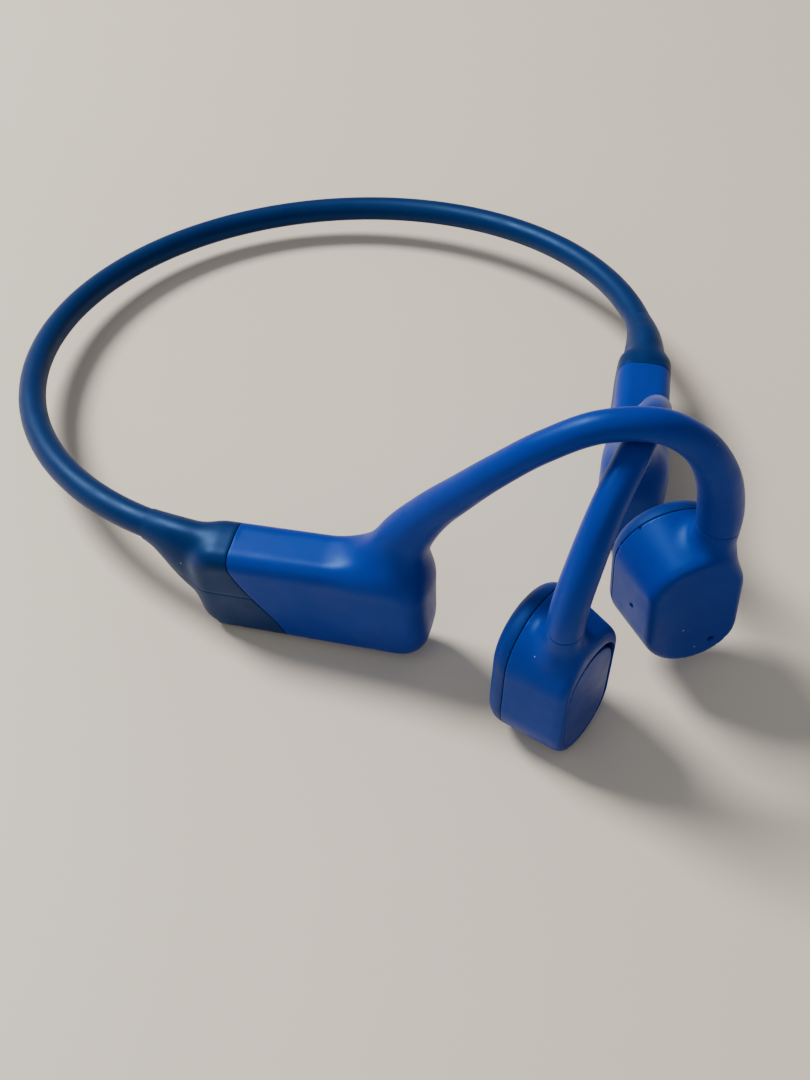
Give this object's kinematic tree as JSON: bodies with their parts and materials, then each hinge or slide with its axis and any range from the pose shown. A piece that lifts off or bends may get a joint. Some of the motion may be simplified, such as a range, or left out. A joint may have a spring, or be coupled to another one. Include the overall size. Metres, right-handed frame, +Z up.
{
  "type": "bone conduction headphones",
  "caption": "Open-ear wireless headset: a springy neckband carries two ear hooks that hold transducers against the cheekbones.",
  "frame": {"origin": "centre of the headset's footprint, on the surface it rests on", "axes": "+Z up, -Y the way the wearer faces, +X the wearer's left"},
  "size_m": [0.1074, 0.1357, 0.0538],
  "materials": {
    "navy_silicone": "matte soft-touch silicone, dark navy",
    "blue_soft_touch": "matte soft-touch silicone, royal blue",
    "pad_silicone": "matte silicone skin pad",
    "blue_key": "satin key cap",
    "spring_wire": "drawn spring wire",
    "lead_insulation": "thin insulated lead",
    "copper": "enamelled copper winding",
    "magnet_plating": "nickel-plated magnet",
    "driver_steel": "stamped steel",
    "gold_contact": "gold-plated contact",
    "black_plastic": "moulded black plastic",
    "circuit_board": "solder-masked board",
    "battery_foil": "foil pouch cell",
    "light_pipe": "frosted light pipe"
  },
  "bodies": {
    "headset": {"battery": "battery_foil", "battery_board": "circuit_board", "charging_contacts": "gold_contact", "charging_port": "black_plastic", "left_boot": "navy_silicone", "left_driver_shell": "blue_soft_touch", "left_hook_cover": "blue_soft_touch", "left_hook_lead": "lead_insulation", "left_hook_wire": "spring_wire", "left_housing": "blue_soft_touch", "left_magnet": "magnet_plating", "left_skin_pad": "pad_silicone", "left_spring_plate": "driver_steel", "left_voice_coil": "copper", "left_yoke": "driver_steel", "main_board": "circuit_board", "multifunction_switch": "black_plastic", "neckband_leads": "lead_insulation", "neckband_sleeve": "navy_silicone", "neckband_wire": "spring_wire", "radio_chip": "black_plastic", "right_boot": "navy_silicone", "right_driver_shell": "blue_soft_touch", "right_hook_cover": "blue_soft_touch", "right_hook_lead": "lead_insulation", "right_hook_wire": "spring_wire", "right_housing": "blue_soft_touch", "right_magnet": "magnet_plating", "right_microphone": "black_plastic", "right_skin_pad": "pad_silicone", "right_spring_plate": "driver_steel", "right_voice_coil": "copper", "right_yoke": "driver_steel", "status_light": "light_pipe", "volume_switches": "black_plastic"},
    "multifunction_button": {"multifunction_button": "blue_key"},
    "volume_down_button": {"volume_down_button": "blue_key"},
    "volume_up_button": {"volume_up_button": "blue_key"}
  },
  "joints": [
    {"name": "volume_up_press", "type": "slide", "parent": "headset", "child": "volume_up_button", "axis": [-0.119, -0.0172, 0.9928], "range_m": [0, 0.0004], "stiffness_N_per_m": 1200},
    {"name": "volume_down_press", "type": "slide", "parent": "headset", "child": "volume_down_button", "axis": [-0.119, -0.0172, 0.9928], "range_m": [0, 0.0004], "stiffness_N_per_m": 1200},
    {"name": "multifunction_press", "type": "slide", "parent": "headset", "child": "multifunction_button", "axis": [-0.3338, 0.9426, 0], "range_m": [0, 0.0003], "stiffness_N_per_m": 1600}
  ]
}
